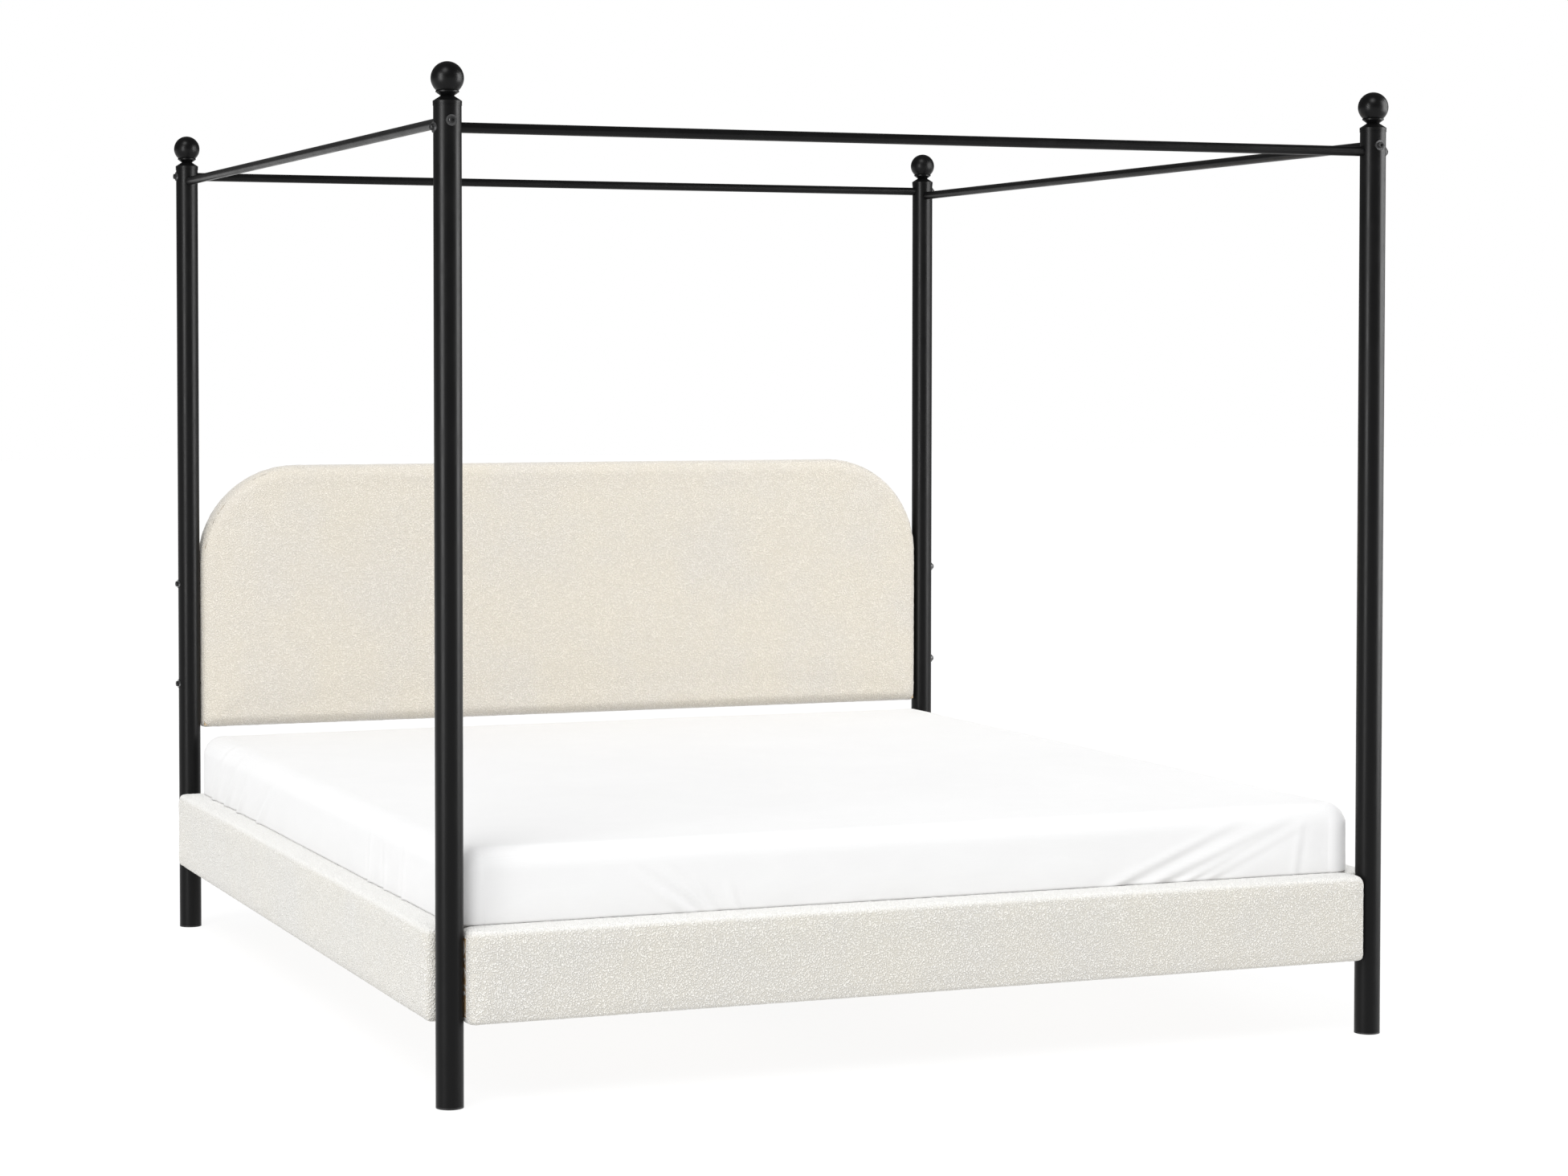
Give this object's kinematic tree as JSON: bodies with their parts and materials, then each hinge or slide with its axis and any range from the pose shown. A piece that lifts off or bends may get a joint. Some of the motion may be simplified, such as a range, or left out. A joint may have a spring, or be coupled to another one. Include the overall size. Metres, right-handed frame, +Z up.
{
  "type": "four poster canopy bed",
  "caption": "Four poster canopy bed with black steel posts and rails, ball finials, upholstered headboard and side rails, sprung slat base and mattress with a fitted sheet.",
  "frame": {"origin": "on the floor, at the centre of the rectangle between the four posts", "axes": "+X to the right seen from the foot end, +Y towards the headboard, +Z up"},
  "size_m": [1.95, 2.15, 1.8423],
  "materials": {
    "black_powder_coat": "satin black powder coat",
    "black_bolt_steel": "blackened steel",
    "zinc_plated_steel": "zinc plated",
    "black_frame_steel": "matt black powder coat",
    "black_plastic": "moulded",
    "ivory_boucle": "looped boucle cloth over foam",
    "white_cotton": "plain woven cotton",
    "mattress_ticking": "quilted ticking",
    "plywood": "unfinished plywood",
    "lining_board": "plain lining cloth on thin board",
    "birch_slat": "lacquered birch",
    "pine_batten": "planed softwood"
  },
  "bodies": {
    "bed_frame": {"beam_hanger_foot": "black_frame_steel", "beam_hanger_head": "black_frame_steel", "bracket_bolts": "zinc_plated_steel", "bracket_inserts": "zinc_plated_steel", "canopy_bolts": "black_bolt_steel", "canopy_rail_foot": "black_powder_coat", "canopy_rail_head": "black_powder_coat", "canopy_rail_inserts": "zinc_plated_steel", "canopy_rail_left": "black_powder_coat", "canopy_rail_right": "black_powder_coat", "canopy_washers": "black_bolt_steel", "centre_beam": "black_frame_steel", "centre_leg_foot_end": "black_frame_steel", "centre_leg_head_end": "black_frame_steel", "centre_leg_plugs": "black_plastic", "corner_bracket_foot_left": "black_frame_steel", "corner_bracket_foot_right": "black_frame_steel", "corner_bracket_head_left": "black_frame_steel", "corner_bracket_head_right": "black_frame_steel", "finial_foot_left": "black_powder_coat", "finial_foot_right": "black_powder_coat", "finial_head_left": "black_powder_coat", "finial_head_right": "black_powder_coat", "foot_rail_core": "pine_batten", "foot_rail_cover": "ivory_boucle", "head_cross_rail": "black_frame_steel", "headboard_back_panel": "lining_board", "headboard_board": "plywood", "headboard_bolts": "black_bolt_steel", "headboard_cross_rail_high": "pine_batten", "headboard_cross_rail_low": "pine_batten", "headboard_cross_rail_middle": "pine_batten", "headboard_inserts": "zinc_plated_steel", "headboard_padding": "ivory_boucle", "headboard_stile_left": "pine_batten", "headboard_stile_right": "pine_batten", "headboard_washers": "black_bolt_steel", "ledge_screws": "zinc_plated_steel", "post_foot_left": "black_powder_coat", "post_foot_right": "black_powder_coat", "post_glides": "black_plastic", "post_head_left": "black_powder_coat", "post_head_right": "black_powder_coat", "side_rail_left_core": "pine_batten", "side_rail_left_cover": "ivory_boucle", "side_rail_right_core": "pine_batten", "side_rail_right_cover": "ivory_boucle", "slat_holders_centre": "black_plastic", "slat_holders_outer_left": "black_plastic", "slat_holders_outer_right": "black_plastic", "slat_ledge_left": "black_frame_steel", "slat_ledge_right": "black_frame_steel", "slats_left": "birch_slat", "slats_right": "birch_slat"},
    "mattress": {"mattress": "mattress_ticking", "fitted_sheet": "white_cotton"},
    "foot_end_levelling_foot": {"levelling_foot_foot_end": "black_plastic"},
    "head_end_levelling_foot": {"levelling_foot_head_end": "black_plastic"}
  },
  "joints": [
    {"name": "mattress_lift", "type": "slide", "parent": "bed_frame", "child": "mattress", "axis": [0, 0, 1], "range_m": [0, 0.35]},
    {"name": "foot_end_levelling", "type": "slide", "parent": "bed_frame", "child": "foot_end_levelling_foot", "axis": [0, 0, 1], "range_m": [0, 0.01]},
    {"name": "head_end_levelling", "type": "slide", "parent": "bed_frame", "child": "head_end_levelling_foot", "axis": [0, 0, 1], "range_m": [0, 0.01]}
  ]
}
